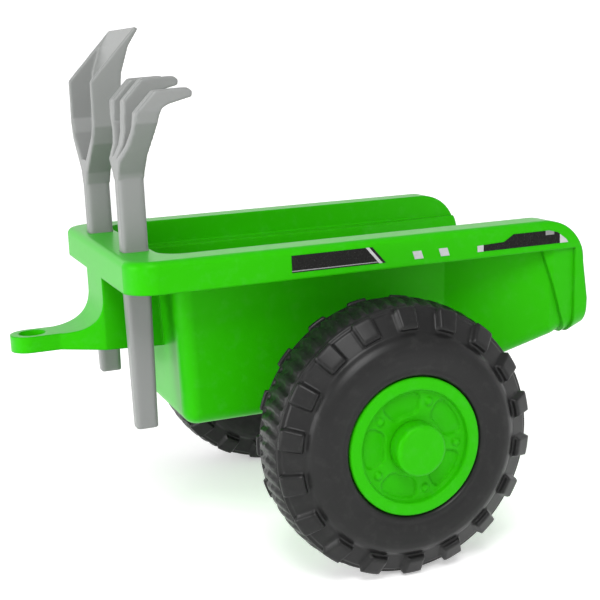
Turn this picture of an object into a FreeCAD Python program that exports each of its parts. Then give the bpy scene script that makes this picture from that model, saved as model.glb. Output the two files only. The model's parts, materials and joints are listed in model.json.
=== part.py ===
"""Toy trailer for a ride-on pedal tractor, with a shovel and a rake in its front ledge.

Frame: +X points forward to the hitch, +Y to the left, +Z up.  Every piece is drawn with the
axle above x = 0 and is then moved back, so that the origin lies on the floor in the middle
of the whole trailer's length and width.  All sizes are in millimetres.
"""
import math
import os

import FreeCAD
import Part

Vector = FreeCAD.Vector
os.makedirs("parts", exist_ok=True)

Y_AXIS = Vector(0, 1, 0)

# ---- general fits and thicknesses -------------------------------------------------------
WALL = 3.5                  # moulded wall of the tub
FREE_GAP = 0.4              # air between pieces that move past each other
PRESS_GAP = 0.05            # radial room of a pressed fit
RUN_GAP = 0.10              # radial room of a turning fit
REACH = 600.0               # longer than anything in the trailer, for cutting blocks

# ---- wheels -----------------------------------------------------------------------------
TYRE_RADIUS = 118.0         # crown of the tread
TYRE_BEAD_RADIUS = 59.0     # where the tyre grips the wheel body
TYRE_WALL = 4.0
TYRE_SIDE = 43.5            # tyre centre plane to the crown of the sidewall
TREAD_HALF = 21.0           # tyre centre plane to the bead ring beside the tread
BEAD_RING_DROP = 3.3        # bead ring below the crown
CREASE_RADIUS = 95.5        # crease between sidewall and shoulder
CREASE_SIDE = 36.0
LUG_COUNT = 18
LUG_WIDTH = 22.0
LUG_PROUD = 3.5
WHEEL_STAND_OFF = 31.5      # middle of the tyre beyond the band's outer face
RIM_FACE = 41.0             # tyre centre plane to the rim's outer face
RIM_STEP_RADIUS = 48.0      # inner edge of the rim's raised border
RIM_STEP = 5.0              # border above the sunken face
RIM_PLATE = 4.0
SPOKE_COUNT = 5
POCKET_DEPTH = 2.5
STUD_RADIUS = 3.6
STUD_PITCH_RADIUS = 39.0
STUD_PROUD = 2.0
CAP_RADIUS = 22.0
CAP_PROUD = 12.0            # hub cap's face beyond the rim's outer face
CAP_WALL = 2.5
HUB_TUBE_RADIUS = 15.0
HUB_WALL = 4.0

# ---- axle -------------------------------------------------------------------------------
AXLE_RADIUS = 4.0
BUSH_RADIUS = 7.0
BUSH_FLANGE_RADIUS = 10.0
BUSH_FLANGE = 2.0
BUSH_LENGTH = 16.0
WASHER_RADIUS = 10.0
WASHER = 1.5
SLEEVE_RADIUS = 8.0
LOCK_RADIUS = 8.5
LOCK_LENGTH = 6.0
CARRIER_THICK = 12.0
CARRIER_RADIUS = 12.0

# ---- tub --------------------------------------------------------------------------------
WHEEL_HEADROOM = 19.0       # band above the top of the tyres
RIM_DEPTH = 27.0            # height of the band round the top
RIM_HALF = 138.0            # band's outer face from the middle
RIM_WIDTH = 30.0            # flat top of the band
RIM_EDGE = 6.0              # rounding of the band's top edge
FRONT_X = 214.0             # front face of the ledge
FRONT_TAPER = 22.0          # the flat front face is this much narrower on each side
FRONT_CORNER = 24.0         # length of the curved corner along X
FRONT_LEDGE = 36.0          # front face to the open tub
SHELF_DEPTH = 24.0          # shelf inside the tub below the top
WALL_X_TOP = 164.0          # front wall
WALL_X_BOTTOM = 159.0
BODY_SET_IN = 44.0          # lower body's side wall inside the band's outer face
SIDE_LEAN = 10.0            # the side wall leans in by this much down to the floor
BODY_CORNER = 14.0
FLOOR_GAP = 5.5             # underside of the floor above the middle of the axle
FLOOR_ROUND = 12.0
LIP_CORNER = 22.0           # rounded front corners of the opening
RAMP_X = -80.0              # the floor starts to climb here
RAMP_DEG = 24.0
FLARE_START_X = -92.0
FLARE_END_X = -182.0
FLARE_SET_IN = 7.0          # spout's outer wall inside the band's outer face
FLARE_THICK = 24.0          # spout's outer wall to its inner wall
SPOUT_TOP_X = -172.0        # the top starts to round down here
SPOUT_ROUND = 40.0
SPOUT_TIP_X = -218.0        # rearmost point of the spout
SPOUT_DROP = 76.0           # rearmost point below the tub's top
COLLAR_X = -172.0           # front edge of the collar round the spout at the band
COLLAR_LEAN = 0.32          # backward run of the collar per millimetre of drop
COLLAR_PROUD = 4.0
LIP_WIDTH = 9.0
LIP_PROUD = 7.0

# ---- drawbar ----------------------------------------------------------------------------
BAR_HALF = 31.5             # web under the ledge
TONGUE_HALF = 17.0
TONGUE_TIP_X = 293.0
TONGUE_DROP = 75.5          # tongue's top below the tub's top
TONGUE_THICK = 14.5
WEB_HANG = 4.5              # web's bottom edge below the tongue's
CURVE_DROP = 46.0           # the front face turns into the tongue here, below the top
CURVE_END_X = 252.0
EYE_X = 273.5
EYE_RADIUS = 12.0

# ---- tools ------------------------------------------------------------------------------
SLOT_X = 191.5              # middle of both slots
SLOT_Y = 68.0
HANDLE_DEPTH = 22.0         # along X at the slot
HANDLE_WIDTH = 17.0         # along Y at the slot
HANDLE_END_SCALE = 0.86
HANDLE_EDGE = 3.5
SLOT_WALL = 3.0
RAKE_BELOW = 156.0          # rake's foot below the tub's top
RAKE_ABOVE = 63.0           # top of the rake's plain handle above the tub's top
RAKE_HEIGHT = 81.5          # neck to the top of the tines
RAKE_REACH = 46.0           # tines reach this far behind the slot
TINE_PITCH = 40.0
TINE_WIDTH = 14.0
OUTER_TINE_DROP = 9.0       # the outer tine ends lower than the two others
FORK_RISE = 15.0            # neck to the bottom of the gaps between tines
SHOVEL_BELOW = 136.0
SHOVEL_ABOVE = 48.0         # top of the shovel's plain handle above the tub's top
SCOOP_HEIGHT = 140.0        # neck to the tip
SCOOP_HALF = 52.0
SCOOP_SHOULDER = 48.0       # neck to the full width
SCOOP_WALL = 4.0

# ---- stickers ---------------------------------------------------------------------------
STICKER = 0.4
STICKER_DROP = 6.5          # sticker's top edge below the tub's top
STICKER_LOW = 6.0           # sticker's bottom edge above the band's
STICKER_FRONT_X = 75.0
STICKER_END_X = 1.0         # top of the slanted rear end
STICKER_SLANT = 0.85        # backward run per millimetre of drop
DASH_X = (-37.0, -62.5)     # top front corners of the two small dashes
DASH_WIDTH = 8.5
DASH_HEIGHT = 7.0
REAR_STICKER_LEAD = 71.0    # front end before the start of the spout's rounding
REAR_STICKER_BAR = 5.5      # height of its thin front bar

AXLE_Z = TYRE_RADIUS
FLOOR_Z = AXLE_Z + FLOOR_GAP
BAND_Z = 2 * TYRE_RADIUS + WHEEL_HEADROOM
RIM_TOP = BAND_Z + RIM_DEPTH
SHELF_Z = RIM_TOP - SHELF_DEPTH
BODY_HALF_TOP = RIM_HALF - BODY_SET_IN
BODY_HALF_BOTTOM = BODY_HALF_TOP - SIDE_LEAN
WHEEL_CENTRE_Y = RIM_HALF + WHEEL_STAND_OFF
CARRIER_Y = BODY_HALF_BOTTOM + 1 - CARRIER_THICK / 2
INNER_HALF = RIM_HALF - RIM_WIDTH
FRONT_HALF = RIM_HALF - FRONT_TAPER
FLARE_HALF_OUT = RIM_HALF - FLARE_SET_IN
FLARE_HALF_IN = FLARE_HALF_OUT - FLARE_THICK
SPOUT_TIP_Z = RIM_TOP - SPOUT_DROP
TONGUE_TOP = RIM_TOP - TONGUE_DROP
TONGUE_BOTTOM = TONGUE_TOP - TONGUE_THICK
WEB_BOTTOM = TONGUE_BOTTOM - WEB_HANG
CURVE_TOP_Z = RIM_TOP - CURVE_DROP
RAKE_BOTTOM = RIM_TOP - RAKE_BELOW
RAKE_NECK = RIM_TOP + RAKE_ABOVE
SHOVEL_BOTTOM = RIM_TOP - SHOVEL_BELOW
SHOVEL_NECK = RIM_TOP + SHOVEL_ABOVE
STICKER_TOP_Z = RIM_TOP - STICKER_DROP
STICKER_BOTTOM_Z = BAND_Z + STICKER_LOW
ORIGIN_X = (TONGUE_TIP_X + SPOUT_TIP_X) / 2
SIDES = ("left", "right")


def export(name, *solids):
    """Write one node as a STEP file, as one solid or as a group of separate solids."""
    shape = solids[0] if len(solids) == 1 else Part.makeCompound(list(solids))
    shape.translate(Vector(-ORIGIN_X, 0, 0))
    shape.exportStep(f"parts/{name}.step")
    volume = sum(solid.Volume for solid in solids)
    print(f"{name:28s} solids {len(shape.Solids)}  valid {shape.isValid()}  {volume / 1000:.1f} cm3")


def one_solid(shape):
    """Return the single solid of a boolean result, with its leftover seams joined."""
    solid = shape.removeSplitter()
    if len(solid.Solids) != 1:
        raise ValueError(f"expected one solid, found {len(solid.Solids)}")
    return solid.Solids[0]


def prism(points, direction):
    """Extrude a closed polygon."""
    return Part.Face(Part.makePolygon(points + points[:1])).extrude(direction)


def side_prism(outline, half):
    """Extrude an outline of (x, z) points across the trailer, from -half to half."""
    points = [Vector(x, -half, z) for x, z in outline]
    return prism(points, Vector(0, 2 * half, 0))


def box(x_range, y_range, z_range):
    """Make a box from its three ranges."""
    corner = Vector(x_range[0], y_range[0], z_range[0])
    size = (x_range[1] - x_range[0], y_range[1] - y_range[0], z_range[1] - z_range[0])
    return Part.makeBox(*size, corner)


def mirrored(shape, side):
    """Give the left-hand shape, or its mirror image for the right-hand side."""
    if side == "left":
        return shape
    return shape.mirror(Vector(0, 0, 0), Y_AXIS)


def axle_ring(outer, inner, y_start, y_end):
    """Make a plain ring or disc round the axle line."""
    low = min(y_start, y_end)
    length = abs(y_end - y_start)
    start = Vector(0, low, AXLE_Z)
    ring = Part.makeCylinder(outer, length, start, Y_AXIS)
    if inner > 0:
        ring = ring.cut(Part.makeCylinder(inner, length, start, Y_AXIS))
    return ring


def at_radius(y, radius):
    """Give a point straight above the axle, at a distance y along it."""
    return Vector(0, y, AXLE_Z + radius)


# ==== tub ================================================================================
def body_outline(z, front_x, half, flare_half, corner):
    """Draw the plan of the tub's lower body at one height, with rounded front corners."""
    inset = corner * (1 - math.cos(math.radians(45)))
    right = [
        Vector(front_x, -(half - corner), z),
        Vector(front_x - inset, -(half - inset), z),
        Vector(front_x - corner, -half, z),
    ]
    flare = [
        Vector(FLARE_START_X, -half, z),
        Vector(FLARE_END_X, -flare_half, z),
        Vector(-REACH / 2, -flare_half, z),
    ]
    left = [Vector(p.x, -p.y, p.z) for p in reversed(right)]
    flare_back = [Vector(p.x, -p.y, p.z) for p in reversed(flare)]
    path = [right[2]] + flare + flare_back + [left[0]]
    edges = [Part.Arc(*right).toShape()]
    edges += [Part.LineSegment(a, b).toShape() for a, b in zip(path, path[1:])]
    edges.append(Part.Arc(*left).toShape())
    edges.append(Part.LineSegment(left[2], right[0]).toShape())
    return Part.Wire(edges)


def body_block(grow, flare_half, top_z):
    """Make the lower body as one solid block; grow moves every face outward."""
    height = BAND_Z - FLOOR_Z
    draft = (BODY_HALF_TOP - BODY_HALF_BOTTOM) / height
    lean = (WALL_X_TOP - WALL_X_BOTTOM) / height
    levels = []
    for z in (FLOOR_Z - RIM_DEPTH, top_z):
        drop = BAND_Z - z
        levels.append(body_outline(z, WALL_X_TOP - lean * drop + grow,
                                   BODY_HALF_TOP - draft * drop + grow,
                                   flare_half - draft * drop + grow, BODY_CORNER + grow))
    walls = Part.makeLoft(levels, True, True)

    slope = math.tan(math.radians(RAMP_DEG))
    floor_z = FLOOR_Z - grow
    ramp_x = RAMP_X + grow * math.tan(math.radians(RAMP_DEG / 2))
    rear_z = floor_z + slope * (ramp_x + REACH / 2)
    floor = side_prism([(REACH / 2, floor_z), (REACH / 2, REACH), (-REACH / 2, REACH),
                        (-REACH / 2, rear_z), (ramp_x, floor_z)], REACH / 2)
    block = walls.common(floor).Solids[0]
    rounded = [edge for edge in block.Edges if on_floor_rim(edge, floor_z, ramp_x, slope)]
    return block.makeFillet(FLOOR_ROUND + grow, rounded)


def on_floor_rim(edge, floor_z, ramp_x, slope):
    """Tell whether an edge joins the floor or its ramp to a wall."""
    for share in (0.0, 0.5, 1.0):
        span = edge.LastParameter - edge.FirstParameter
        point = edge.valueAt(edge.FirstParameter + share * span)
        floor = floor_z + slope * max(0.0, ramp_x - point.x)
        if abs(point.z - floor) > 0.05:
            return False
    across = edge.BoundBox.XLength < 0.01
    at_fold = abs(edge.BoundBox.XMin - ramp_x) < 0.1
    at_end = edge.BoundBox.XMin < 1 - REACH / 2
    return not (across and (at_fold or at_end))


def band_block(inset, low, high):
    """Make the solid inside the band's outer face, or inside a line inset from it."""
    front = FRONT_X - inset
    half = RIM_HALF - inset
    flat = FRONT_HALF - inset / 2
    bend = (FRONT_CORNER * 0.35, (RIM_HALF - FRONT_HALF) * 0.30)
    right = [Vector(front, -flat, low), Vector(front - bend[0], -half + bend[1], low),
             Vector(front - FRONT_CORNER, -half, low)]
    left = [Vector(p.x, -p.y, p.z) for p in reversed(right)]
    rear = [Vector(-REACH / 2, -half, low), Vector(-REACH / 2, half, low)]
    path = [right[2]] + rear + [left[0]]
    edges = [Part.Arc(*right).toShape()]
    edges += [Part.LineSegment(a, b).toShape() for a, b in zip(path, path[1:])]
    edges.append(Part.Arc(*left).toShape())
    edges.append(Part.LineSegment(left[2], right[0]).toShape())
    return Part.Face(Part.Wire(edges)).extrude(Vector(0, 0, high - low))


def opening_block(grow, low, high):
    """Make the open space inside the band, with rounded front corners."""
    front = FRONT_X - FRONT_LEDGE + grow
    half = INNER_HALF + grow
    block = box((-REACH / 2, front), (-half, half), (low, high))
    corners = [edge for edge in block.Edges
               if edge.BoundBox.ZLength > 1 and edge.BoundBox.XMax > front - 1]
    return block.makeFillet(LIP_CORNER + grow, corners)


def rear_trim():
    """Make the space that holds the whole trailer, closed by the spout's rear profile."""
    centre_z = RIM_TOP - SPOUT_ROUND
    bow = SPOUT_ROUND * math.sin(math.radians(45))
    y = -REACH / 2
    top = Vector(SPOUT_TOP_X, y, RIM_TOP)
    middle = Vector(SPOUT_TOP_X - bow, y, centre_z + bow)
    edge = Vector(SPOUT_TOP_X - SPOUT_ROUND, y, centre_z)
    path = [edge, Vector(SPOUT_TIP_X, y, SPOUT_TIP_Z), Vector(SPOUT_TIP_X, y, 0),
            Vector(REACH, y, 0), Vector(REACH, y, RIM_TOP), top]
    edges = [Part.Arc(top, middle, edge).toShape()]
    edges += [Part.LineSegment(a, b).toShape() for a, b in zip(path, path[1:])]
    return Part.Face(Part.Wire(edges)).extrude(Vector(0, REACH, 0))


def slab(front_points, top_z):
    """Make the space behind a leaning line given by two (x, z) points."""
    (x_high, z_high), (x_low, z_low) = front_points
    return side_prism([(x_high, z_high), (x_low, z_low), (-REACH / 2, z_low),
                       (-REACH / 2, top_z), (x_high, top_z)], REACH / 2)


def make_drawbar():
    """Make the web under the ledge and the tongue that runs forward from it."""
    y = -BAR_HALF
    start_x = WALL_X_BOTTOM + 1
    rise = (TONGUE_BOTTOM - WEB_BOTTOM) / 2
    path = [(CURVE_END_X, TONGUE_TOP), (TONGUE_TIP_X, TONGUE_TOP), (TONGUE_TIP_X, TONGUE_BOTTOM),
            (CURVE_END_X, TONGUE_BOTTOM), (FRONT_X, WEB_BOTTOM + rise), (start_x, WEB_BOTTOM),
            (start_x, BAND_Z + WALL), (FRONT_X, BAND_Z + WALL), (FRONT_X, CURVE_TOP_Z)]
    points = [Vector(x, y, z) for x, z in path]
    curve = Part.BezierCurve()
    curve.setPoles([points[-1], Vector(FRONT_X, y, TONGUE_TOP), points[0]])
    edges = [Part.LineSegment(a, b).toShape() for a, b in zip(points, points[1:])]
    side = Part.Face(Part.Wire(edges + [curve.toShape()])).extrude(Vector(0, 2 * BAR_HALF, 0))

    tip_x = TONGUE_TIP_X - TONGUE_HALF
    right = [Vector(start_x, -BAR_HALF, 0), Vector(FRONT_X, -BAR_HALF, 0),
             Vector(CURVE_END_X, -TONGUE_HALF, 0), Vector(tip_x, -TONGUE_HALF, 0)]
    left = [Vector(p.x, -p.y, 0) for p in reversed(right)]
    edges = [Part.LineSegment(a, b).toShape() for a, b in zip(right, right[1:])]
    edges.append(Part.Arc(right[-1], Vector(TONGUE_TIP_X, 0, 0), left[0]).toShape())
    edges += [Part.LineSegment(a, b).toShape() for a, b in zip(left, left[1:])]
    edges.append(Part.LineSegment(left[-1], right[0]).toShape())
    plan = Part.Face(Part.Wire(edges)).extrude(Vector(0, 0, REACH))
    bar = side.common(plan)
    return bar.cut(Part.makeCylinder(EYE_RADIUS, REACH, Vector(EYE_X, 0, 0)))


def make_carrier(y):
    """Make one of the two moulded lugs that carry the axle under the floor."""
    start = Vector(0, y - CARRIER_THICK / 2, AXLE_Z)
    lug = Part.makeCylinder(CARRIER_RADIUS, CARRIER_THICK, start, Y_AXIS)
    root = box((-CARRIER_RADIUS, CARRIER_RADIUS),
               (y - CARRIER_THICK / 2, y + CARRIER_THICK / 2), (AXLE_Z, FLOOR_Z + FLOOR_ROUND))
    bore = Part.makeCylinder(AXLE_RADIUS + RUN_GAP, CARRIER_THICK, start, Y_AXIS)
    return lug.fuse(root).cut(bore)


def slot_block(y, grow, low, high):
    """Make the rectangular space of one tool slot, grown on all four sides."""
    depth = HANDLE_DEPTH / 2 + FREE_GAP + grow
    width = HANDLE_WIDTH / 2 + FREE_GAP + grow
    block = box((SLOT_X - depth, SLOT_X + depth), (y - width, y + width), (low, high))
    upright = [edge for edge in block.Edges if edge.BoundBox.ZLength > 1]
    return block.makeFillet(HANDLE_EDGE, upright)


def make_tub():
    """Make the one-piece tub with its band, spout, drawbar, slots and axle carriers."""
    outer = body_block(0.0, FLARE_HALF_OUT, RIM_TOP - 1)
    band = band_block(0.0, BAND_Z, RIM_TOP)
    top_rim = [edge for edge in band.Edges
               if edge.BoundBox.ZMin > RIM_TOP - 0.01 and edge.BoundBox.XMax > 1 - REACH / 2]
    band = band.makeFillet(RIM_EDGE, top_rim)
    hollow = band_block(WALL, BAND_Z - 1, RIM_TOP - WALL)
    hollow = hollow.cut(opening_block(WALL, BAND_Z - 2, RIM_TOP))
    hollow = hollow.cut(box((-REACH, FLARE_END_X / 2), (-REACH, REACH), (0, REACH)))
    band = band.cut(hollow)

    collar_foot = COLLAR_X - COLLAR_LEAN * BAND_Z
    collar = body_block(COLLAR_PROUD, FLARE_HALF_OUT, RIM_TOP)
    collar = collar.common(slab([(COLLAR_X, BAND_Z), (collar_foot, 0)], BAND_Z + 1))
    lip = body_block(LIP_PROUD, FLARE_HALF_OUT, RIM_TOP)
    lip_top = SPOUT_TOP_X - SPOUT_ROUND + LIP_WIDTH
    lip_foot = SPOUT_TIP_X + LIP_WIDTH
    lip = lip.common(slab([(lip_top, RIM_TOP - SPOUT_ROUND), (lip_foot, 0)], BAND_Z + 1))

    carriers = [make_carrier(CARRIER_Y), make_carrier(-CARRIER_Y)]
    tub = outer.fuse([band, collar, lip, make_drawbar()] + carriers)
    tub = tub.common(rear_trim())
    tub = tub.cut(body_block(-WALL, FLARE_HALF_IN, RIM_TOP + WALL))
    tub = tub.cut(opening_block(0.0, SHELF_Z, RIM_TOP + WALL))
    for y in (SLOT_Y, -SLOT_Y):
        tub = tub.fuse(slot_block(y, SLOT_WALL, BAND_Z, RIM_TOP - WALL / 2))
        tub = tub.cut(slot_block(y, 0.0, BAND_Z - WALL, RIM_TOP + WALL))
    return one_solid(tub)


# ==== wheels =============================================================================
def tyre_profile(inset, bead_side):
    """List the tyre's outer half outline, or its inner one when inset by the wall."""
    crown = TYRE_RADIUS - inset
    ring = (TREAD_HALF - inset / 2, crown - BEAD_RING_DROP)
    shoulder = (TREAD_HALF + 3 - inset / 2, crown - BEAD_RING_DROP - 3)
    crease = (CREASE_SIDE - inset, CREASE_RADIUS - inset / 2)
    bulge = (TYRE_SIDE - inset, (CREASE_RADIUS + TYRE_BEAD_RADIUS) / 2)
    bead = (bead_side, TYRE_BEAD_RADIUS + inset)
    return crown, ring, shoulder, crease, bulge, bead


def tyre_edges(inset, bead_side):
    """Draw one skin of the tyre's section, from the outer bead over to the inner bead."""
    crown, ring, shoulder, crease, bulge, bead = tyre_profile(inset, bead_side)
    y = WHEEL_CENTRE_Y
    half = []
    for sign in (1, -1):
        p_bead, p_bulge, p_crease, p_shoulder, p_ring = (
            at_radius(y + sign * u, r) for u, r in (bead, bulge, crease, shoulder, ring))
        half.append([Part.Arc(p_bead, p_bulge, p_crease).toShape(),
                     Part.LineSegment(p_crease, p_shoulder).toShape(),
                     Part.LineSegment(p_shoulder, p_ring).toShape()])
    ends = [at_radius(y + sign * ring[0], ring[1]) for sign in (1, -1)]
    tread = Part.Arc(ends[0], at_radius(y, crown), ends[1]).toShape()
    return half[0] + [tread] + half[1]


def make_tyre():
    """Make the hollow moulded tyre with its two rows of shoulder lugs."""
    y = WHEEL_CENTRE_Y
    bead_in = RIM_FACE - 6
    skin_edges = tyre_edges(0.0, RIM_FACE)
    air_edges = tyre_edges(TYRE_WALL, bead_in)
    ends = []
    for sign in (1, -1):
        outer = at_radius(y + sign * RIM_FACE, TYRE_BEAD_RADIUS)
        inner = at_radius(y + sign * bead_in, TYRE_BEAD_RADIUS)
        air = at_radius(y + sign * bead_in, TYRE_BEAD_RADIUS + TYRE_WALL)
        ends.append(Part.LineSegment(outer, inner).toShape())
        ends.append(Part.LineSegment(inner, air).toShape())
    wire = Part.Wire(Part.__sortEdges__(skin_edges + air_edges + ends))
    tyre = Part.Face(wire).revolve(Vector(0, 0, AXLE_Z), Y_AXIS, 360)
    lug = tyre_lug()
    lugs = []
    for index in range(LUG_COUNT):
        for sign in (1, -1):
            turn = 360 / LUG_COUNT * (index + (0.5 if sign < 0 else 0.0))
            piece = lug.copy() if sign > 0 else lug.mirror(Vector(0, y, 0), Y_AXIS)
            piece.rotate(Vector(0, 0, AXLE_Z), Y_AXIS, turn)
            lugs.append(piece)
    return one_solid(tyre.fuse(lugs))


def tyre_lug():
    """Make the lug at the top of the outer shoulder."""
    y = WHEEL_CENTRE_Y
    low = CREASE_RADIUS + 3
    high = TYRE_RADIUS - 1.5
    root = CREASE_SIDE - 4
    outline = [(TREAD_HALF + 1, high - 4), (TREAD_HALF + 2, high), (TREAD_HALF + LUG_PROUD + 2, high),
               (root + LUG_PROUD, low + 2), (root, low)]
    points = [Vector(-LUG_WIDTH / 2, y + u, AXLE_Z + r) for u, r in outline]
    return prism(points, Vector(LUG_WIDTH, 0, 0))


def make_wheel_body():
    """Make the black inner half of the wheel: barrel, inner disc and hub tube."""
    y = WHEEL_CENTRE_Y
    outer = TYRE_BEAD_RADIUS - PRESS_GAP
    barrel = axle_ring(outer, outer - HUB_WALL, y - RIM_FACE, y + RIM_FACE - RIM_STEP - RIM_PLATE)
    disc = axle_ring(outer - 1, BUSH_RADIUS + PRESS_GAP, hub_in(), hub_in() + HUB_WALL)
    tube = axle_ring(HUB_TUBE_RADIUS, BUSH_RADIUS + PRESS_GAP, hub_in(), hub_out())
    return one_solid(barrel.fuse([disc, tube]))


def hub_in():
    """Give the inner end of the hub tube along the axle."""
    return WHEEL_CENTRE_Y - RIM_FACE + RIM_STEP + BUSH_FLANGE


def hub_out():
    """Give the outer end of the hub tube along the axle."""
    return WHEEL_CENTRE_Y + RIM_FACE - RIM_STEP - RIM_PLATE - BUSH_FLANGE


def make_rim_disc():
    """Make the coloured outer face of the wheel with its pockets and studs."""
    face_y = WHEEL_CENTRE_Y + RIM_FACE
    sunk_y = face_y - RIM_STEP
    outer = TYRE_BEAD_RADIUS - PRESS_GAP
    disc = axle_ring(outer, HUB_TUBE_RADIUS + FREE_GAP, sunk_y - RIM_PLATE, sunk_y)
    disc = disc.fuse(axle_ring(outer, RIM_STEP_RADIUS, sunk_y - 1, face_y))
    pocket = axle_ring(RIM_STEP_RADIUS - 3, CAP_RADIUS + 4, sunk_y - POCKET_DEPTH, sunk_y + 1)
    half_turn = math.radians(360 / SPOKE_COUNT * 0.31)
    side_x = RIM_STEP_RADIUS * math.tan(half_turn)
    wedge = prism([Vector(0, sunk_y - RIM_PLATE, AXLE_Z),
                   Vector(side_x, sunk_y - RIM_PLATE, AXLE_Z + RIM_STEP_RADIUS),
                   Vector(-side_x, sunk_y - RIM_PLATE, AXLE_Z + RIM_STEP_RADIUS)],
                  Vector(0, 2 * RIM_PLATE, 0))
    pocket = pocket.common(wedge)
    stud = Part.makeCylinder(STUD_RADIUS, STUD_PROUD + 1,
                             Vector(0, sunk_y - 1, AXLE_Z + STUD_PITCH_RADIUS), Y_AXIS)
    for index in range(SPOKE_COUNT):
        turn = 360 / SPOKE_COUNT * index
        hollow = pocket.copy()
        hollow.rotate(Vector(0, 0, AXLE_Z), Y_AXIS, turn)
        knob = stud.copy()
        knob.rotate(Vector(0, 0, AXLE_Z), Y_AXIS, turn + 180 / SPOKE_COUNT)
        disc = disc.cut(hollow).fuse(knob)
    return one_solid(disc)


def make_hub_cap():
    """Make the round cap that hides the end of the axle."""
    face_y = WHEEL_CENTRE_Y + RIM_FACE
    sunk_y = face_y - RIM_STEP
    tip_y = face_y + CAP_PROUD
    cap = axle_ring(CAP_RADIUS, 0, sunk_y, tip_y)
    rim = [edge for edge in cap.Edges if edge.BoundBox.YMin > tip_y - 0.01]
    cap = cap.makeFillet(CAP_WALL, rim)
    return one_solid(cap.cut(axle_ring(CAP_RADIUS - CAP_WALL, 0, sunk_y, tip_y - CAP_WALL)))


def make_bush(seat_y, inward):
    """Make a flanged bush; its flange lies outside the seat, its body runs inward."""
    bore = AXLE_RADIUS + RUN_GAP
    body = axle_ring(BUSH_RADIUS, bore, seat_y, seat_y + inward * BUSH_LENGTH)
    flange = axle_ring(BUSH_FLANGE_RADIUS, bore, seat_y, seat_y - inward * BUSH_FLANGE)
    return one_solid(body.fuse(flange))


def export_wheel(side):
    """Write every node of one wheel and of the axle hardware on that side."""
    inner_face = hub_in() - BUSH_FLANGE - FREE_GAP
    outer_face = hub_out() + BUSH_FLANGE + FREE_GAP
    washer_hole = AXLE_RADIUS + RUN_GAP
    lock_y = outer_face + WASHER
    sleeve_start = CARRIER_Y + CARRIER_THICK / 2
    pieces = {
        "tyre": make_tyre(),
        "wheel_body": make_wheel_body(),
        "rim_disc": make_rim_disc(),
        "hub_cap": make_hub_cap(),
        "inner_bush": make_bush(hub_in(), 1),
        "outer_bush": make_bush(hub_out(), -1),
        "inner_washer": axle_ring(WASHER_RADIUS, washer_hole, inner_face - WASHER, inner_face),
        "outer_washer": axle_ring(WASHER_RADIUS, washer_hole, outer_face, outer_face + WASHER),
        "lock_cap": make_lock_cap(lock_y),
        "axle_spacer": axle_ring(SLEEVE_RADIUS, washer_hole, sleeve_start, inner_face - WASHER),
    }
    for name, piece in pieces.items():
        export(f"{name}_{side}", mirrored(piece, side))


def make_lock_cap(start_y):
    """Make the push-on cap that holds the wheel on the axle's end."""
    skirt = axle_ring(LOCK_RADIUS, AXLE_RADIUS + PRESS_GAP, start_y, start_y + LOCK_LENGTH)
    end = axle_ring(LOCK_RADIUS, 0, start_y + LOCK_LENGTH, start_y + LOCK_LENGTH + WASHER)
    return one_solid(skirt.fuse(end))


def make_axle():
    """Make the plain steel axle, which ends inside the two lock caps."""
    end_y = hub_out() + BUSH_FLANGE + FREE_GAP + WASHER + LOCK_LENGTH - FREE_GAP
    axle = axle_ring(AXLE_RADIUS, 0, -end_y, end_y)
    rims = [edge for edge in axle.Edges if edge.BoundBox.YLength < 0.01]
    return axle.makeChamfer(0.6, rims)


# ==== tools ==============================================================================
def handle_section(y, z, scale):
    """Draw a rounded rectangle of the handle at one height."""
    depth = HANDLE_DEPTH / 2 * scale
    width = HANDLE_WIDTH / 2 * scale
    plate = Part.makeBox(2 * depth, 2 * width, 1, Vector(SLOT_X - depth, y - width, z))
    upright = [edge for edge in plate.Edges if edge.BoundBox.ZLength > 0.5]
    plate = plate.makeFillet(HANDLE_EDGE, upright)
    base = [face for face in plate.Faces if face.BoundBox.ZMax < z + 0.01]
    return base[0].OuterWire


def make_handle(y, bottom_z, neck_z):
    """Make a tool's handle, which narrows from the slot down to its foot."""
    foot = Part.makeLoft([handle_section(y, bottom_z, HANDLE_END_SCALE),
                          handle_section(y, BAND_Z, 1.0)], True, True)
    stem = Part.makeLoft([handle_section(y, BAND_Z, 1.0), handle_section(y, neck_z, 1.0)],
                         True, True)
    return foot.fuse(stem)


def head_block(side_outline, front_outline, y):
    """Shape a tool's head by its outline from the side and its outline from the front."""
    half = max(abs(u) for u, _ in front_outline)
    side = side_prism([(SLOT_X + u, z) for u, z in side_outline], half + 1)
    side.translate(Vector(0, y, 0))
    points = [Vector(SLOT_X - REACH / 4, y + u, z) for u, z in front_outline]
    return side.common(prism(points, Vector(REACH / 2, 0, 0)))


def both_sides(half_outline):
    """Complete a front outline, given for +Y from the bottom up, by its mirror image."""
    return half_outline + [(-u, z) for u, z in reversed(half_outline)]


def tine_outline(drop):
    """Draw a tine from the side; drop lowers its bent end."""
    depth = HANDLE_DEPTH / 2
    neck = RAKE_NECK
    top = neck + RAKE_HEIGHT - drop
    return [(depth, neck - 1), (depth + 0.6, neck + 15), (5.6, neck + 27), (3.1, neck + 38),
            (1.5, top - 18), (-15, top - 1), (-RAKE_REACH + 4, top), (-RAKE_REACH, top - 3),
            (-RAKE_REACH + 0.6, top - 7), (-25.5, top - 12), (-20, top - 15), (-18, top - 20),
            (-15.5, neck + 38), (-depth - 1, neck + 20), (-depth, neck - 1)]


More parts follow.
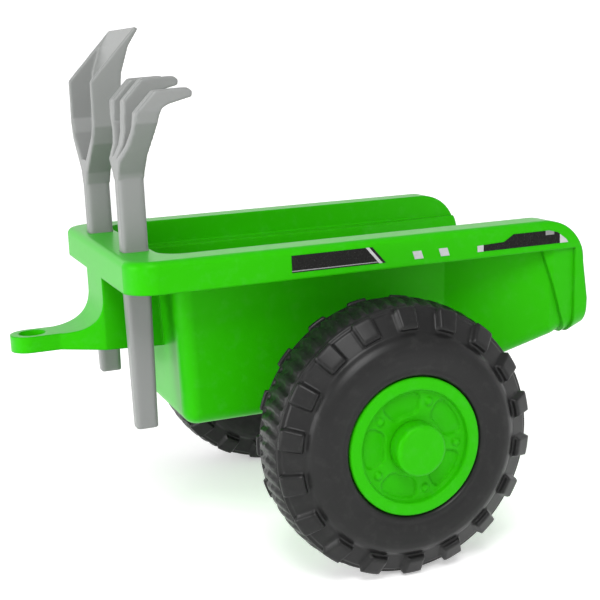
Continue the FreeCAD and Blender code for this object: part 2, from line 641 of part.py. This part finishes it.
def make_rake(y):
    """Make the rake: a handle that forks into tines, which bend over to the rear."""
    neck = RAKE_NECK
    top = neck + RAKE_HEIGHT
    fork = neck + FORK_RISE
    half = TINE_WIDTH / 2
    wide = TINE_PITCH + half
    front = both_sides([(HANDLE_WIDTH / 2, neck - 1), (HANDLE_WIDTH / 2 + 2, neck + 4),
                        (wide - 4, neck + 46), (wide, neck + 56), (wide, top + 1)])
    split = y + TINE_PITCH / 2
    inner = head_block(tine_outline(0.0), front, y)
    inner = inner.common(box((-REACH, REACH), (-REACH, split), (0, REACH)))
    outer = head_block(tine_outline(OUTER_TINE_DROP), front, y)
    outer = outer.common(box((-REACH, REACH), (split, REACH), (0, REACH)))
    head = inner.fuse(outer)
    rise = TINE_PITCH - TINE_WIDTH
    for sign in (1, -1):
        gap = [(sign * half, fork), (sign * (half + rise), fork + rise * 1.15),
               (sign * (half + rise), top + 2), (sign * half, top + 2)]
        points = [Vector(SLOT_X - REACH / 4, y + u, z) for u, z in gap]
        head = head.cut(prism(points, Vector(REACH / 2, 0, 0)))
    return one_solid(make_handle(y, RAKE_BOTTOM, neck).fuse(head))


def make_shovel(y):
    """Make the shovel: a handle that widens into a scoop open to the front."""
    depth = HANDLE_DEPTH / 2
    neck = SHOVEL_NECK
    tip = neck + SCOOP_HEIGHT
    mouth = neck + 94
    front_x = depth - 2
    back = [(-depth, neck - 1), (-14, neck + 40), (-19, mouth + 6), (-27, tip - 16),
            (-37, tip - 1)]
    side = [(depth, neck - 1), (front_x + 1, neck + 40), (front_x, mouth), (-34, tip)]
    side += list(reversed(back))
    shoulder = neck + SCOOP_SHOULDER
    outline = [(HANDLE_WIDTH / 2, neck - 1), (HANDLE_WIDTH / 2 + 4, neck + 10),
               (SCOOP_HALF - 8, shoulder - 10), (SCOOP_HALF, shoulder + 6), (SCOOP_HALF, tip + 1)]
    scoop = head_block(side, both_sides(outline), y)
    wall = SCOOP_WALL
    hollow_side = [(u + wall, z) for u, z in back[1:]]
    hollow_side = [(-5, neck + 22)] + hollow_side + [(-30, tip + 20), (60, tip + 20),
                                                     (60, neck + 18)]
    inner = [(HANDLE_WIDTH / 2, neck + 20), (SCOOP_HALF - 8 - wall, shoulder - 4),
             (SCOOP_HALF - wall, shoulder + 10), (SCOOP_HALF - wall, tip + 30)]
    scoop = scoop.cut(head_block(hollow_side, both_sides(inner), y))
    return one_solid(make_handle(y, SHOVEL_BOTTOM, neck).fuse(scoop))


# ==== stickers ===========================================================================
def sticker(outline, side):
    """Make one thin sticker on the band's outer face from its (x, z) outline."""
    points = [Vector(x, RIM_HALF, z) for x, z in outline]
    return mirrored(prism(points, Vector(0, STICKER, 0)), side)


def export_stickers(side):
    """Write the front and the rear sticker of one side."""
    low = STICKER_BOTTOM_Z
    high = STICKER_TOP_Z
    slant = STICKER_SLANT * (high - low)
    front = [sticker([(STICKER_FRONT_X, low), (STICKER_FRONT_X, high), (STICKER_END_X, high),
                      (STICKER_END_X - slant, low)], side)]
    for x in DASH_X:
        foot = x - 0.3 * DASH_HEIGHT
        front.append(sticker([(x, low + DASH_HEIGHT), (foot, low), (foot - DASH_WIDTH, low),
                              (x - DASH_WIDTH, low + DASH_HEIGHT)], side))
    start = SPOUT_TOP_X + REAR_STICKER_LEAD
    bar = low + REAR_STICKER_BAR
    rear = sticker([(start, low), (start, bar), (start - 27, bar + 1), (start - 37, high - 2),
                    (start - 74, high - 2), (start - 83, high - 4.5), (start - 92, low + 3),
                    (start - 94, low)], side)
    export(f"front_sticker_{side}", *front)
    export(f"rear_sticker_{side}", rear)


def main():
    """Build every node of the trailer."""
    export("tub", make_tub())
    export("axle", make_axle())
    export("shovel", make_shovel(-SLOT_Y))
    export("rake", make_rake(SLOT_Y))
    for side in SIDES:
        export_wheel(side)
        export_stickers(side)


main()
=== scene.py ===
# %% [markdown]
# # A toy trailer with a shovel and a rake
# The trailer is a green moulded tub on two black wheels, with two grey sand tools that stand
# in slots at the front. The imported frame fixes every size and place. This lesson adds the
# looks round it: finishes made from nodes, and wheels and tools with the shapes of mouldings.

# %% Load the frame
import json
import math

import bmesh
import bpy
import numpy as np
from mathutils import Matrix, Vector


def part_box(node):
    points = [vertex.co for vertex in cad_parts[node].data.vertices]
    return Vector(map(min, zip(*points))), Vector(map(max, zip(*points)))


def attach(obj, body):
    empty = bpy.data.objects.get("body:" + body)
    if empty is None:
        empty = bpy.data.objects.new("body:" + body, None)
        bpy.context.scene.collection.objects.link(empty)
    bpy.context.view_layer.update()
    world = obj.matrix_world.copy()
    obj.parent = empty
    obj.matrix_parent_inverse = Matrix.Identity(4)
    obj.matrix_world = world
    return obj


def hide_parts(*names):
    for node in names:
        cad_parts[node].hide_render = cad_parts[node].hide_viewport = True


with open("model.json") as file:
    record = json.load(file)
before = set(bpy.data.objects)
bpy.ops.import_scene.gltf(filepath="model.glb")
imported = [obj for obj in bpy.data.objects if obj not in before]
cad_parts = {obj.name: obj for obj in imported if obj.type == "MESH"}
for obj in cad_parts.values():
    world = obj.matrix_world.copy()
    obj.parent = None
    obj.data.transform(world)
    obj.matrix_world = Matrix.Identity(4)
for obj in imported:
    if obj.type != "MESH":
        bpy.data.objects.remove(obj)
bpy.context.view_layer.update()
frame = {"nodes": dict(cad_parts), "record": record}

MM = 0.001
nodes = frame["nodes"]
print("pieces in the frame:", len(nodes))

# %% [markdown]
# ## Writing a finish as sums
# A finish is a tree of shader nodes. Trees can be built by hand, but long ones are hard to
# read. Here one small class stands for a node's output, so that adding or multiplying two
# outputs adds the matching Math node, and a second class keeps the tree and adds every
# other kind of node with one method.

# %% A socket that can be added and multiplied
class Value:
    """One output of a node, with arithmetic that adds Math nodes."""

    def __init__(self, finish, socket):
        self.finish = finish
        self.socket = socket

    def math(self, operation, first, second):
        return self.finish.add("Math", {"operation": operation}, {0: first, 1: second})

    def __add__(self, other):
        return self.math("ADD", self, other)

    def __sub__(self, other):
        return self.math("SUBTRACT", self, other)

    def __rsub__(self, other):
        return self.math("SUBTRACT", other, self)

    def __mul__(self, other):
        return self.math("MULTIPLY", self, other)

    def __gt__(self, other):
        return self.math("GREATER_THAN", self, other)

    def __lt__(self, other):
        return self.math("LESS_THAN", self, other)

    __radd__ = __add__
    __rmul__ = __mul__


print("outputs can now be added, subtracted, multiplied and compared")


# %% A finish and its one method for nodes
class Finish:
    """A material that is built node by node."""

    def __init__(self, name):
        self.material = bpy.data.materials.new(name)
        self.material.use_nodes = True
        self.tree = self.material.node_tree
        self.tree.nodes.clear()

    def add(self, kind, settings=None, sockets=None, output=0):
        node = self.tree.nodes.new("ShaderNode" + kind)
        for key, value in (settings or {}).items():
            if key == "stops":
                self.set_stops(node.color_ramp.elements, value)
            else:
                setattr(node, key, value)
        for key, value in (sockets or {}).items():
            if isinstance(value, Value):
                self.tree.links.new(value.socket, node.inputs[key])
            else:
                node.inputs[key].default_value = value
        return Value(self, node.outputs[output]) if len(node.outputs) else node

    @staticmethod
    def set_stops(elements, stops):
        while len(elements) < len(stops):
            elements.new(1.0)
        for element, (place, level) in zip(elements, stops):
            element.position = place
            element.color = (level, level, level, 1)

    def mix(self, share, first, second):
        """Blend two colours; share 1 gives the second."""
        colours = [c if isinstance(c, Value) else (*c, 1) for c in (first, second)]
        return self.add("Mix", {"data_type": "RGBA"}, {0: share, 6: colours[0], 7: colours[1]}, 2)

    def close(self, **sockets):
        """Add the surface shader and finish the material."""
        named = {key.replace("_", " "): value for key, value in sockets.items()}
        shader = self.add("BsdfPrincipled", {}, named)
        self.add("OutputMaterial", {}, {"Surface": shader})
        print("finish:", self.material.name, "with", len(self.tree.nodes), "nodes")
        return self.material


# %% [markdown]
# ## Moulded plastic
# The tub, the rims and the tools are moulded plastic. Real mouldings are never one flat
# colour: the pigment drifts a little over the part, the tool steel leaves a fine skin that
# breaks up the gloss, and slow waves in the wall bend the reflections. Three noises do
# that. The Bevel node rounds the shading of edges that the frame keeps sharp, which is
# cheaper than bevelling a large moulding and never leaves bad faces.

# %% Recipe for moulded plastic
def moulded_plastic(name, deep, light, rough, grain, edge, gloss, tint=(1, 1, 1)):
    finish = Finish(name)
    place = finish.add("TexCoord", output="Object")
    drift = finish.add("TexNoise", {}, {"Vector": place, "Scale": 7.0, "Detail": 3.0})
    skin = finish.add("TexNoise", {}, {"Vector": place, "Scale": 1400.0, "Detail": 2.0})
    wave = finish.add("TexNoise", {}, {"Vector": place, "Scale": 24.0, "Detail": 1.0})
    scuff = finish.add("TexNoise", {}, {"Vector": place, "Scale": 90.0, "Detail": 6.0,
                                        "Roughness": 0.7})
    worn = finish.add("ValToRGB", {"stops": [(0.52, 0.0), (0.75, 1.0)]}, {"Fac": scuff})
    colour = finish.mix(drift, deep, light)
    colour = finish.mix(worn * 0.012, colour, (0.75, 0.78, 0.72))
    soft = finish.add("Bevel", {"samples": 6}, {"Radius": edge})
    height = skin * grain + wave * 0.3
    normal = finish.add("Bump", {}, {"Strength": 0.15, "Distance": 0.0009,
                                     "Height": height, "Normal": soft})
    return finish.close(Base_Color=colour, Roughness=rough + drift * 0.06 + worn * 0.04,
                        Specular_IOR_Level=gloss, Specular_Tint=(*tint, 1), Normal=normal)


# %% The green and grey plastics
green = moulded_plastic("green_moulding", (0.014, 0.325, 0.000), (0.020, 0.355, 0.001),
                        0.33, 0.08, 3.0 * MM, 0.34, (0.22, 0.80, 0.10))
grey = moulded_plastic("grey_moulding", (0.165, 0.172, 0.167), (0.192, 0.198, 0.193),
                       0.34, 0.22, 1.0 * MM, 0.40)

# %% [markdown]
# ## Black tyre plastic and inner parts
# The tyres are blown from a black plastic that is dull on the walls and a little shinier on
# the lugs; here one finish covers walls and lugs alike. The inner half of each wheel and the
# axle tubes are plain black mouldings. Both use the same idea and the same grain, and differ
# in roughness, gloss and edge rounding, though a blown part has a coarser, softer skin.

# %% Tyre, black and nylon
tyre_black = moulded_plastic("tyre_black", (0.006, 0.006, 0.006), (0.010, 0.010, 0.010),
                             0.32, 0.30, 0.6 * MM, 0.22)
dull_black = moulded_plastic("dull_black", (0.006, 0.006, 0.006), (0.010, 0.010, 0.010),
                             0.50, 0.30, 0.8 * MM, 0.35)
nylon = moulded_plastic("nylon", (0.66, 0.65, 0.58), (0.74, 0.73, 0.67), 0.42, 0.15,
                        0.4 * MM, 0.40)

# %% [markdown]
# ## Zinc-plated steel
# The axle, washers and lock caps are plated steel. Turning leaves fine rings round the
# axle's line, so the brushing follows the distance along Y, and the zinc shows faint
# yellow and blue clouds.

# %% Steel for the axle and its small parts
def plated_steel():
    finish = Finish("zinc_steel")
    place = finish.add("TexCoord", output="Object")
    along = finish.add("VectorMath", {"operation": "MULTIPLY"}, {0: place, 1: (20, 2500, 20)})
    brushed = finish.add("TexNoise", {}, {"Vector": along, "Scale": 1.0, "Detail": 3.0})
    cloud = finish.add("TexNoise", {}, {"Vector": place, "Scale": 180.0, "Detail": 3.0})
    colour = finish.mix(cloud, (0.52, 0.54, 0.58), (0.66, 0.63, 0.54))
    normal = finish.add("Bump", {}, {"Strength": 0.3, "Distance": 0.0001, "Height": brushed})
    return finish.close(Base_Color=colour, Metallic=1.0, Normal=normal,
                        Roughness=0.24 + brushed * 0.18)


steel = plated_steel()

# %% [markdown]
# ## Printed stickers
# Each side of the band carries a dark front sticker with two short dashes behind it, and a
# dark rear sticker that swells towards the spout. The frame has their outlines. What is
# printed on them, and a painted highlight along the top of the rear one, could be an image,
# but a few comparisons of height and length draw the same simple marks with clean edges at
# any distance.

# %% Shared film
def film(name, marks):
    """Make glossy printed film; marks gives the share of light ink from x and z, and on the rear
    sticker part of that share is a painted highlight.
    """
    finish = Finish(name)
    place = finish.add("TexCoord", output="Object")
    x = finish.add("SeparateXYZ", {}, {0: place}, output="X")
    z = finish.add("SeparateXYZ", {}, {0: place}, output="Z")
    speck = finish.add("TexNoise", {}, {"Vector": place, "Scale": 260.0, "Detail": 4.0})
    dark = finish.mix(speck, (0.002, 0.002, 0.002), (0.005, 0.005, 0.004))
    pale = finish.mix(speck, (0.30, 0.31, 0.31), (0.46, 0.47, 0.47))
    share = marks(x, z)
    colour = finish.mix(share, dark, pale)
    normal = finish.add("Bump", {}, {"Strength": 0.03, "Distance": 0.0002, "Height": speck})
    return finish.close(Base_Color=colour, Roughness=0.22 + speck * 0.10 + share * 0.1,
                        Specular_IOR_Level=0.16, Normal=normal)


# %% What is printed on the front sticker
front_low, front_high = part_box("front_sticker_left")
PANEL_LENGTH = 74 * MM
SLANT = 0.85
panel_end = front_high.x - PANEL_LENGTH


def front_marks(x, z):
    slanted = x + (front_high.z - z) * SLANT
    stripe = (slanted > panel_end + 3.0 * MM) * (slanted < panel_end + 6.2 * MM)
    line = (z > front_low.z + 0.9 * MM) * (z < front_low.z + 1.7 * MM)
    line = line * (slanted > panel_end + 6.2 * MM) * 0.55
    dashes = x < panel_end - 20 * MM
    return stripe + line + dashes


front_film = film("front_film", front_marks)

# %% What is printed on the rear sticker, and its painted highlight
rear_low, rear_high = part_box("rear_sticker_left")
rear_length = rear_high.x - rear_low.x


def rear_marks(x, z):
    tip = x > rear_high.x - 6 * MM
    tail = (x < rear_low.x + 9 * MM) * (z < rear_low.z + 8 * MM)
    # glint is a painted highlight: a strip of pale ink colour along the sticker's top that stands
    # in for a reflection
    glint = (x > rear_low.x + 15 * MM) * (x < rear_low.x + 24 * MM)
    glint = glint * (z > rear_high.z - 4 * MM) * 0.5
    return tip + tail + glint


rear_film = film("rear_film", rear_marks)
print("rear sticker is", round(rear_length / MM), "mm long")

# %% [markdown]
# ## Giving the frame its finishes
# The record says which slot each frame node takes. One table turns slots into finishes, so
# a node can't be forgotten, and the two stickers are told apart by name.

# %% Finishes for every frame node
by_slot = {"green_plastic": green, "grey_plastic": grey, "tyre_plastic": tyre_black,
           "black_plastic": dull_black, "nylon": nylon, "steel": steel,
           "sticker_film": front_film}
for part in frame["record"]["subparts"]:
    finish = rear_film if part["node"].startswith("rear_") else by_slot[part["material_slot"]]
    slots = nodes[part["node"]].data.materials
    slots.clear()
    slots.append(finish)

# %% [markdown]
# ## A mesh from rings
# Tyres, rims and caps are all round. A lathe turns one outline, but lugs, ribs and pockets
# break the roundness. So each piece is a grid: rows follow the outline, columns go round
# the axle, and every point may move. Side is measured outwards from the wheel's middle.

# %% Points on a ring grid become a mesh
def ring_mesh(name, centre, outward, side, radius):
    """Make a closed skin from two grids; the last row joins the first."""
    rows, columns = side.shape
    turn = np.arange(columns) * 2 * math.pi / columns
    points = np.stack([centre.x - outward * radius * np.sin(turn),
                       centre.y + outward * side,
                       centre.z + radius * np.cos(turn)], axis=-1).reshape(-1, 3)
    row, column = np.meshgrid(np.arange(rows), np.arange(columns), indexing="ij")
    below = (row + 1) % rows
    beside = (column + 1) % columns
    corners = [row * columns + column, below * columns + column,
               below * columns + beside, row * columns + beside]
    faces = np.stack(corners, axis=-1).reshape(-1, 4)
    mesh = bpy.data.meshes.new(name)
    mesh.from_pydata(points.tolist(), [], faces.tolist())
    tidy_mesh(mesh)
    return mesh


def tidy_mesh(mesh):
    """Weld doubled points, turn the faces outwards and shade them smooth."""
    work = bmesh.new()
    work.from_mesh(mesh)
    bmesh.ops.remove_doubles(work, verts=work.verts, dist=1e-6)
    bmesh.ops.recalc_face_normals(work, faces=work.faces)
    work.to_mesh(mesh)
    work.free()
    mesh.shade_smooth()


def add_piece(name, mesh, body, finish, node):
    """Show a piece in place of a frame node, moving with the same body."""
    piece = bpy.data.objects.new(name, mesh)
    bpy.context.scene.collection.objects.link(piece)
    mesh.materials.clear()
    mesh.materials.append(finish)
    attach(piece, body)
    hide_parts(node)
    print(name, "has", len(mesh.vertices), "points")
    return piece


# %% [markdown]
# ## Small helpers for outlines
# An outline is a short list of corners. Spreading points evenly along it and averaging each
# with its neighbours rounds every corner, as a mould does. A smooth step gives masks with
# soft edges for lugs and pockets.

# %% Even points and soft steps
def even_points(corners, count, softness=0):
    """Spread points along a line of (side, radius) corners, rounded by averaging."""
    line = np.array(corners, float)
    run = np.concatenate([[0], np.cumsum(np.linalg.norm(np.diff(line, axis=0), axis=1))])
    places = np.linspace(0, run[-1], count)
    points = np.stack([np.interp(places, run, line[:, axis]) for axis in (0, 1)], axis=-1)
    for _ in range(softness):
        points[1:-1] = (points[:-2] + 2 * points[1:-1] + points[2:]) / 4
    return points


def soft_step(low, high, value):
    share = np.clip((value - low) / (high - low), 0, 1)
    return share * share * (3 - 2 * share)


# %% [markdown]
# ## The tyre
# The tyre is a hollow black moulding. From the rim outwards it has a thin raised line, a
# round bulging wall, a crease, a sloping shoulder with eighteen blocks, a bead ring and a
# tread of fine slanting ribs. The frame's tyre has the same section with plain blocks. A
# grid lets each block rise from the shoulder with soft edges: the plain section and the
# section through a block have the same number of points, and the column decides how much
# of each is used.

# %% Sections of the tyre, in millimetres
WALL_CORNERS = [(36.0, 59.3), (39.6, 60.2), (41.3, 61.6), (42.0, 62.8), (41.9, 64.0),
                (41.3, 65.2), (42.5, 69.0), (43.45, 76.0), (43.2, 82.0), (41.6, 87.5),
                (38.4, 92.0), (35.0, 94.6), (33.7, 95.6), (33.6, 96.6)]
SHOULDER_CORNERS = [(33.6, 96.6), (24.6, 111.2), (23.4, 112.0)]
BLOCK_CORNERS = [(33.6, 96.6), (33.9, 98.2), (37.2, 98.8), (37.0, 101.6), (28.0, 115.6),
                 (25.0, 116.6), (23.6, 115.6), (23.4, 112.0)]
TREAD_CORNERS = [(23.4, 112.0), (22.7, 112.2), (22.2, 114.4), (21.0, 115.4), (19.8, 114.6),
                 (19.0, 114.0), (18.2, 115.6), (15.0, 116.7), (8.0, 117.7), (0.0, 118.0)]
BLOCKS = 18
BLOCK_WIDTH = 17.5
BLOCK_MIDDLE = 106.0          # reach at which the block's width is taken
BLOCK_EDGE = 0.012            # soft edge of a block, in radians
RIBS = 60
RIB_DEPTH = 2.2
RIB_SLANT = 1.6 / 19.0        # turn of the rib's wave for each millimetre to the side
RIB_END = (18.4, 16.6)        # the ribs fade out between these sides
TYRE_COLUMNS = 480
print("tyre section has", len(WALL_CORNERS + SHOULDER_CORNERS + TREAD_CORNERS), "corners")


def tyre_half(block, columns_turn):
    """Give side and radius grids of one half, from the rim to the middle of the tread."""
    wall = even_points(WALL_CORNERS, 34, 1)
    plain = even_points(SHOULDER_CORNERS, 24)
    raised = even_points(BLOCK_CORNERS, 24, 1)
    tread = even_points(TREAD_CORNERS, 30, 1)
    plain_line = np.concatenate([wall, plain[1:], tread[1:]])[:, None, :]
    raised_line = np.concatenate([wall, raised[1:], tread[1:]])[:, None, :]
    line = plain_line + (raised_line - plain_line) * block[None, :, None]
    side, radius = line[..., 0], line[..., 1].copy()
    wave = np.cos(RIBS * columns_turn[None, :] + side * RIB_SLANT)
    inside = soft_step(*RIB_END, side)
    radius -= RIB_DEPTH * soft_step(-0.2, 0.5, wave) * inside
    return side, radius


def block_mask(turn, shift):
    """Tell how much each column belongs to a shoulder block."""
    pitch = 2 * math.pi / BLOCKS
    off = np.abs((turn / pitch + shift) % 1.0 - 0.5) * pitch
    half = BLOCK_WIDTH / 2 / BLOCK_MIDDLE
    return soft_step(half + BLOCK_EDGE, half - BLOCK_EDGE, off)


# %% Build both tyres
def tyre_mesh(name, centre, outward):
    turn = np.arange(TYRE_COLUMNS) * 2 * math.pi / TYRE_COLUMNS
    outer_side, outer_radius = tyre_half(block_mask(turn, 0.5), turn)
    inner_side, inner_radius = tyre_half(block_mask(turn, 0.0), turn)
    side = np.concatenate([outer_side, -inner_side[-2::-1]]) * MM
    radius = np.concatenate([outer_radius, inner_radius[-2::-1]]) * MM
    return ring_mesh(name, centre, outward, side, radius)


wheel_middle = {}
for hand, outward in (("left", 1), ("right", -1)):
    low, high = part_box("tyre_" + hand)
    centre = (low + high) / 2
    wheel_middle[hand] = centre
    add_piece("tyre_skin_" + hand, tyre_mesh("tyre_skin_" + hand, centre, outward),
              "wheel_" + hand, tyre_black, "tyre_" + hand)

# %% [markdown]
# ## The rim
# The rim is the wheel's green face: a flat border, a step down, five shallow pockets with
# round corners and a small stud between each two. Cutting those from a disc leaves hard
# edges, so the face is a height over a round grid instead, with a soft edge at each step.

# %% Shape of the rim's face, in millimetres
BORDER = 48.0
STEP = 5.0
POCKET_IN, POCKET_OUT = 26.0, 45.8
POCKET_DEPTH = 2.5
POCKET_CORNER = 7.0
STUD_AT, STUD_RADIUS, STUD_RISE = 39.0, 3.6, 2.0
SPOKES = 5
POCKET_SHARE = 0.36           # half width of a pocket as a share of the spoke pitch
FIRST_POCKET = math.radians(-14)
PLATE = 4.0
HUB_HOLE = 15.4
RIM_COLUMNS = 480
print("rim has", SPOKES, "pockets and", SPOKES, "studs")


def rim_height(radius, turn, outer):
    """Give the face's height above the sunken level at each point of the grid."""
    height = STEP * soft_step(BORDER - 0.9, BORDER + 0.9, radius)
    height -= 1.2 * soft_step(outer - 1.4, outer, radius) ** 2
    pitch = 2 * math.pi / SPOKES
    off = np.abs(((turn - FIRST_POCKET) / pitch + 0.5) % 1.0 - 0.5) * pitch
    across = (POCKET_SHARE * pitch - off) * radius
    along = np.minimum(radius - POCKET_IN, POCKET_OUT - radius)
    gap = np.hypot(np.maximum(POCKET_CORNER - across, 0), np.maximum(POCKET_CORNER - along, 0))
    inside = np.minimum(np.minimum(across, along), POCKET_CORNER - gap)
    height -= POCKET_DEPTH * soft_step(0.0, 1.5, inside)
    stud_off = pitch / 2 - off
    distance = np.sqrt(radius ** 2 + STUD_AT ** 2
                       - 2 * radius * STUD_AT * np.cos(stud_off))
    height += STUD_RISE * soft_step(STUD_RADIUS + 0.2, STUD_RADIUS - 0.9, distance)
    return height


# %% Build both rims
def rim_mesh(name, centre, outward, outer, face):
    """Put rows close together where the face steps, and far apart where it is flat."""
    turn = np.arange(RIM_COLUMNS) * 2 * math.pi / RIM_COLUMNS
    line = np.concatenate([np.linspace(outer, outer - 2, 7),
                           np.linspace(outer - 2.5, BORDER + 1.4, 8),
                           np.linspace(BORDER + 1.0, POCKET_IN - 1.0, 60),
                           np.linspace(POCKET_IN - 1.5, HUB_HOLE, 6)])
    radius = np.repeat(line[:, None], RIM_COLUMNS, axis=1)
    side = face - STEP + rim_height(radius, turn[None, :], outer)
    back = np.full((1, RIM_COLUMNS), face - STEP - PLATE)
    ends = [np.full((1, RIM_COLUMNS), reach) for reach in (HUB_HOLE, outer)]
    side = np.concatenate([side, back, back])
    radius = np.concatenate([radius] + ends)
    return ring_mesh(name, centre, outward, side * MM, radius * MM)


for hand, outward in (("left", 1), ("right", -1)):
    low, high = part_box("rim_disc_" + hand)
    centre = wheel_middle[hand]
    face = max(abs(high.y - centre.y), abs(low.y - centre.y)) / MM
    outer = (high.z - low.z) / 2 / MM
    mesh = rim_mesh("rim_face_" + hand, centre, outward, outer, face)
    add_piece("rim_face_" + hand, mesh, "wheel_" + hand, green,
              "rim_disc_" + hand)

# %% [markdown]
# ## The hub cap
# A round green cap hides the axle's end. It is a plain turned shape: a faintly domed face,
# a generous rounded edge and a straight wall, closed at the back.

# %% Build both hub caps
CAP_FOOT = 0.4                # chamfer at the cap's foot, in millimetres
CAP_EDGE = 3.2                # rounding of the face's edge
CAP_DOME = (0.1, 9.0)         # drop of the face at this reach
CAP_COLUMNS = 160


def cap_mesh(name, centre, outward, tip, foot, radius):
    """Turn the cap's outline; tip and foot are its ends along the axle."""
    bend = [(tip - CAP_EDGE * (1 - math.sin(a)), radius - CAP_EDGE * (1 - math.cos(a)))
            for a in np.linspace(math.pi / 2, 0, 9)]
    corners = [(tip, 0.0), (tip - CAP_DOME[0], CAP_DOME[1])] + bend
    corners += [(foot + 1, radius), (foot, radius - CAP_FOOT), (foot, 0.0)]
    line = even_points(corners, 60)
    side = np.repeat(line[:, :1], CAP_COLUMNS, axis=1) * MM
    reach = np.repeat(line[:, 1:], CAP_COLUMNS, axis=1) * MM
    return ring_mesh(name, centre, outward, side, reach)


for hand, outward in (("left", 1), ("right", -1)):
    low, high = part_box("hub_cap_" + hand)
    centre = wheel_middle[hand]
    reach = sorted(abs(v - centre.y) / MM for v in (low.y, high.y))
    mesh = cap_mesh("cap_" + hand, centre, outward, reach[1], reach[0],
                    (high.z - low.z) / 2 / MM)
    add_piece("cap_" + hand, mesh, "wheel_" + hand, green, "hub_cap_" + hand)

# %% [markdown]
# ## The shovel and the rake
# Both tools are single grey mouldings with soft edges all over. Bevelling their many short
# edges one by one is fragile. Remeshing a copy with small cubes and smoothing it a little
# rounds every edge by the same amount, inside and out, and keeps the places exact.

# %% Soft copies of the two tools
CUBE = 1.1 * MM
ROUNDS = 4
SWELL = 0.35 * MM             # smoothing shrinks a tool by about this much


def soften(node, body, finish):
    """Stand a smoothed copy of a frame node in its place."""
    mesh = nodes[node].data.copy()
    tidy_mesh(mesh)
    piece = bpy.data.objects.new(node + "_work", mesh)
    bpy.context.scene.collection.objects.link(piece)
    cubes = piece.modifiers.new("cubes", "REMESH")
    cubes.mode = "VOXEL"
    cubes.voxel_size = CUBE
    smooth = piece.modifiers.new("smooth", "SMOOTH")
    smooth.factor = 0.5
    smooth.iterations = ROUNDS
    swell = piece.modifiers.new("swell", "DISPLACE")
    swell.mid_level = 0.0
    swell.strength = SWELL
    shape = piece.evaluated_get(bpy.context.evaluated_depsgraph_get())
    result = bpy.data.meshes.new_from_object(shape)
    bpy.data.objects.remove(piece)
    result.shade_smooth()
    return add_piece(node + "_soft", result, body, finish, node)


for tool in ("shovel", "rake"):
    soften(tool, tool, grey)

# %% [markdown]
# ## Floor, light and camera
# The trailer stands on a plain white floor that sweeps up all round like a very wide bowl,
# so that no view shows an edge. The light is even, as in a bright room, with one large soft
# lamp over the left shoulder and one at the hitch end that lays a pale sheen on the front
# faces. A flat square floor would be simpler, but its end shows from low angles.

# %% Floor that sweeps up all round
def sweep(flat, bend, top, columns=96):
    """Turn a line of (reach, height) round the upright axis."""
    line = [(0.0, 0.0), (flat, 0.0)]
    line += [(flat + bend * math.sin(a), bend * (1 - math.cos(a)))
             for a in np.linspace(0, math.pi / 2, 16)[1:]]
    line.append((flat + bend, top))
    turn = [2 * math.pi * k / columns for k in range(columns)]
    points = [(reach * math.cos(t), reach * math.sin(t), z) for reach, z in line for t in turn]
    faces = [(i * columns + k, i * columns + (k + 1) % columns,
              (i + 1) * columns + (k + 1) % columns, (i + 1) * columns + k)
             for i in range(len(line) - 1) for k in range(columns)]
    mesh = bpy.data.meshes.new("floor")
    mesh.from_pydata(points, [], faces)
    tidy_mesh(mesh)
    floor = bpy.data.objects.new("floor", mesh)
    bpy.context.scene.collection.objects.link(floor)
    finish = Finish("floor_white")
    place = finish.add("TexCoord", output="Object")
    mottle = finish.add("TexNoise", {}, {"Vector": place, "Scale": 5.0, "Detail": 3.0})
    colour = finish.mix(mottle, (0.93, 0.93, 0.93), (0.95, 0.95, 0.95))
    mesh.materials.append(finish.close(Base_Color=colour, Roughness=0.9,
                                       Specular_IOR_Level=0.1, Emission_Color=colour,
                                       Emission_Strength=0.36))
    print("floor reaches", flat + bend, "m")


sweep(flat=5.0, bend=2.5, top=4.0)

# %% [markdown]
# ## Room light and lamps
# A plain white sky gives the even part of the light. On its own it makes everything look
# flat, so two square lamps add direction. Large lamps give soft shadows; a small lamp or a
# sun would draw a hard line under the tub.

# %% Room light and two soft lamps
SKY = 0.62
room = bpy.data.worlds.new("room")
bpy.context.scene.world = room
room.use_nodes = True
room.node_tree.nodes["Background"].inputs["Color"].default_value = (1, 1, 1, 1)
room.node_tree.nodes["Background"].inputs["Strength"].default_value = SKY


def soft_lamp(name, place, size, power, aim):
    lamp = bpy.data.lights.new(name, "AREA")
    lamp.shape = "SQUARE"
    lamp.size = size
    lamp.energy = power
    holder = bpy.data.objects.new(name, lamp)
    holder.location = place
    holder.rotation_euler = (Vector(aim) - Vector(place)).to_track_quat("-Z", "Y").to_euler()
    bpy.context.scene.collection.objects.link(holder)
    print("lamp", name, "at", place)


soft_lamp("over_shoulder", (0.5, 1.5, 1.9), 1.0, 34, (0, 0, 0.2))
soft_lamp("hitch_end", (2.0, 0.3, 0.75), 1.1, 24, (0, 0, 0.22))


# %% [markdown]
# ## Camera
# The camera stands in front of the left wheel at about the height of the tools, turned a
# little towards the hitch end and looking slightly down. It is built from three angles in
# radians, so that its sideways tilt can be set without a chain of rotations. A long lens
# keeps the sides of the tub nearly parallel.

# %% Camera
def add_camera():
    yaw, pitch, roll = 0.3559, 0.1959, -0.0456
    look = Vector((-math.sin(yaw) * math.cos(pitch), -math.cos(yaw) * math.cos(pitch),
                   -math.sin(pitch)))
    level = look.cross(Vector((0, 0, 1))).normalized()
    up = level.cross(look)
    right = level * math.cos(roll) + up * math.sin(roll)
    top = up * math.cos(roll) - level * math.sin(roll)
    lens = bpy.data.cameras.new("camera")
    lens.sensor_width = 36
    lens.lens = 72
    lens.shift_x = 0.0206
    lens.shift_y = -0.0136
    camera = bpy.data.objects.new("camera", lens)
    place = Matrix((right, top, -look)).transposed().to_4x4()
    place.translation = Vector((0.3852, 1.0605, 0.4408))
    camera.matrix_world = place
    bpy.context.scene.collection.objects.link(camera)
    bpy.context.scene.camera = camera
    print("camera looks along", [round(v, 2) for v in look])


add_camera()
bpy.context.scene.view_settings.view_transform = "Standard"
